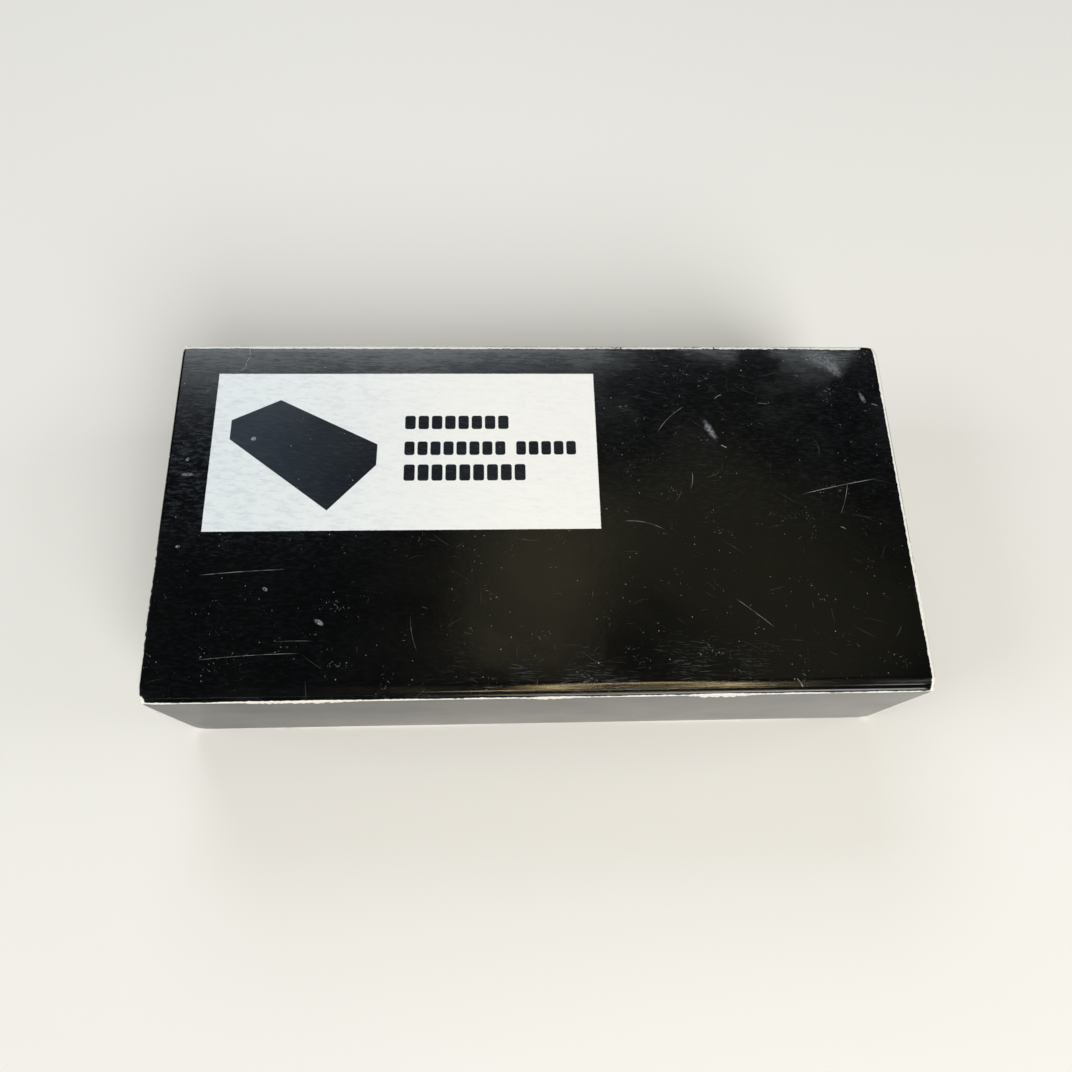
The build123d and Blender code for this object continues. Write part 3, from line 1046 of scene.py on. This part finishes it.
def block_point(corner, half):
    """A point of the block from its place on a cube of half size 1: softened and chipped at its edges."""
    p = Vector(math.copysign(1 - (1 - abs(c)) ** BLOCK_CROWDING, c) * h for c, h in zip(corner, half))
    core = Vector(max(BLOCK_EDGE - h, min(h - BLOCK_EDGE, c)) for c, h in zip(p, half))
    out = p - core
    if sum(abs(c) > 1e-6 for c in out) > 1:
        p = core + out.normalized() * BLOCK_EDGE
    from_edge = sorted(h - abs(c) for c, h in zip(p, half))[1]
    chip = max(0.0, noise.noise(p * 0.35) - CHIP_LEVEL) * CHIP_DEPTH * math.exp(-from_edge / CHIP_REACH)
    hollow = max(0.0, SURFACE_ROUGHNESS * noise.fractal(p * 0.5, 1.0, 2.0, 4))
    return p * (1 - (chip + BLOCK_SHRINK + hollow) / BLOCK_HEIGHT)


def charcoal_block():
    """Pressed block, lying at the CAD block's slight lean."""
    size = np.array([BLOCK_LENGTH, BLOCK_HIGH[1] - BLOCK_LOW[1], BLOCK_HEIGHT])
    lean = math.asin((BLOCK_HIGH[2] - BLOCK_LOW[2] - BLOCK_HEIGHT) / BLOCK_LENGTH)
    centre = Vector((BLOCK_LOW + BLOCK_HIGH) / 2)
    turn = Matrix.Rotation(lean, 3, "Y")
    work = bmesh.new()
    bmesh.ops.create_cube(work, size=2.0)
    bmesh.ops.subdivide_edges(work, edges=work.edges[:], cuts=BLOCK_CUTS, use_grid_fill=True)
    places = []
    for vertex in work.verts:
        p = block_point(vertex.co, size / 2)
        places.append(tuple(p))
        vertex.co = (turn @ p + centre) * MM
    mesh = bpy.data.meshes.new("charcoal_block_pressed")
    work.to_mesh(mesh)
    work.free()
    store(mesh, "place", np.array(places))
    block = finished("charcoal_block_pressed", mesh, (pressed_charcoal(),), sharp=50)
    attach(replacing(block, "charcoal_block"), "block")


# ---------------------------------------------------------------- stage

LIGHTS = (                  # name, place, size, power, colour
    ("front_key", (0.45, -1.05, 0.9), (0.9, 0.9), 18.0, (1.0, 0.985, 0.95)),
    ("left_fill", (-1.3, -0.2, 0.75), (0.9, 0.9), 9.5, (0.96, 0.98, 1.0)),
    ("right_fill", (1.4, 0.0, 0.7), (0.8, 0.8), 6.0, (1.0, 0.99, 0.96)),
    ("back_window", (-0.3, 1.35, 1.15), (1.0, 0.9), 8.5, (0.84, 0.92, 1.0)),
    ("warm_strip", (0.14, -0.33, 1.0), (0.44, 0.035), 1.5, (1.0, 0.78, 0.38)),
    ("middle_glow", (0.07, 0.43, 1.5), (0.26, 0.36), 0.20, (1.0, 0.88, 0.5)),
    ("right_glow", (0.5, 0.45, 1.5), (0.6, 0.36), 0.17, (1.0, 0.92, 0.5)),
)

FLOOR_SIZE = 12.0
LENS = 29.15                # focal length on a sensor 36 mm wide
CAMERA_PLACE = (-8.74, -63.15, 188.13)
CAMERA_PITCH = -20.267      # degrees
CAMERA_YAW = 2.664
CAMERA_ROLL = 0.456


def floor():
    bpy.ops.mesh.primitive_plane_add(size=FLOOR_SIZE)
    plane = bpy.context.object
    plane.name = "floor"
    plane.data.materials.append(floor_material())


def world():
    """A pale backdrop for the camera, and almost no light from it."""
    studio = bpy.data.worlds.new("studio")
    studio.use_nodes = True
    bpy.context.scene.world = studio
    tree = studio.node_tree
    seen = tree.nodes.new("ShaderNodeLightPath").outputs["Is Camera Ray"]
    strength = tree.nodes.new("ShaderNodeMapRange")
    strength.inputs["To Min"].default_value = WORLD_STRENGTH
    strength.inputs["To Max"].default_value = BACKDROP_STRENGTH
    background = tree.nodes["Background"]
    background.inputs["Color"].default_value = BACKDROP + (1.0,)
    tree.links.new(seen, strength.inputs["Value"])
    tree.links.new(strength.outputs[0], background.inputs["Strength"])


def area_light(name, place, size, power, colour):
    """A rectangular light that faces the object, its first side level."""
    data = bpy.data.lights.new(name, "AREA")
    data.shape = "RECTANGLE"
    data.size, data.size_y = size
    data.energy = power
    data.color = colour
    light = bpy.data.objects.new(name, data)
    light.location = place
    light.rotation_euler = (-Vector(place)).to_track_quat("-Z", "Y").to_euler()
    bpy.context.scene.collection.objects.link(light)


def camera():
    """Close above the carton, a little to its left, looking down at about 70 degrees."""
    data = bpy.data.cameras.new("camera")
    data.sensor_width = 36.0
    data.lens = LENS
    data.clip_start, data.clip_end = 0.01, 20.0
    view = bpy.data.objects.new("camera", data)
    world_to_camera = (Matrix.Rotation(math.radians(CAMERA_ROLL), 3, "Z")
                       @ Matrix.Rotation(math.radians(CAMERA_YAW), 3, "Y")
                       @ Matrix.Rotation(math.radians(CAMERA_PITCH), 3, "X"))
    place = Matrix.Translation(Vector(CAMERA_PLACE) * MM)
    view.matrix_world = place @ world_to_camera.transposed().to_4x4()
    bpy.context.scene.collection.objects.link(view)
    bpy.context.scene.camera = view
    bpy.context.scene.view_settings.view_transform = "Standard"


sleeve()
for end_name in ("left", "right"):
    closure(end_name)
    tuck(end_name)
    dust(end_name, "front")
    dust(end_name, "back")
for strip_name, *strip in TORN_STRIPS:
    torn_strip("front_fold_torn_strip_" + strip_name, *strip)
charcoal_block()
glue = frame["nodes"]["seam_glue"]
glue.data.materials.clear()
glue.data.materials.append(dried_glue())
floor()
world()
for light in LIGHTS:
    area_light(*light)
camera()
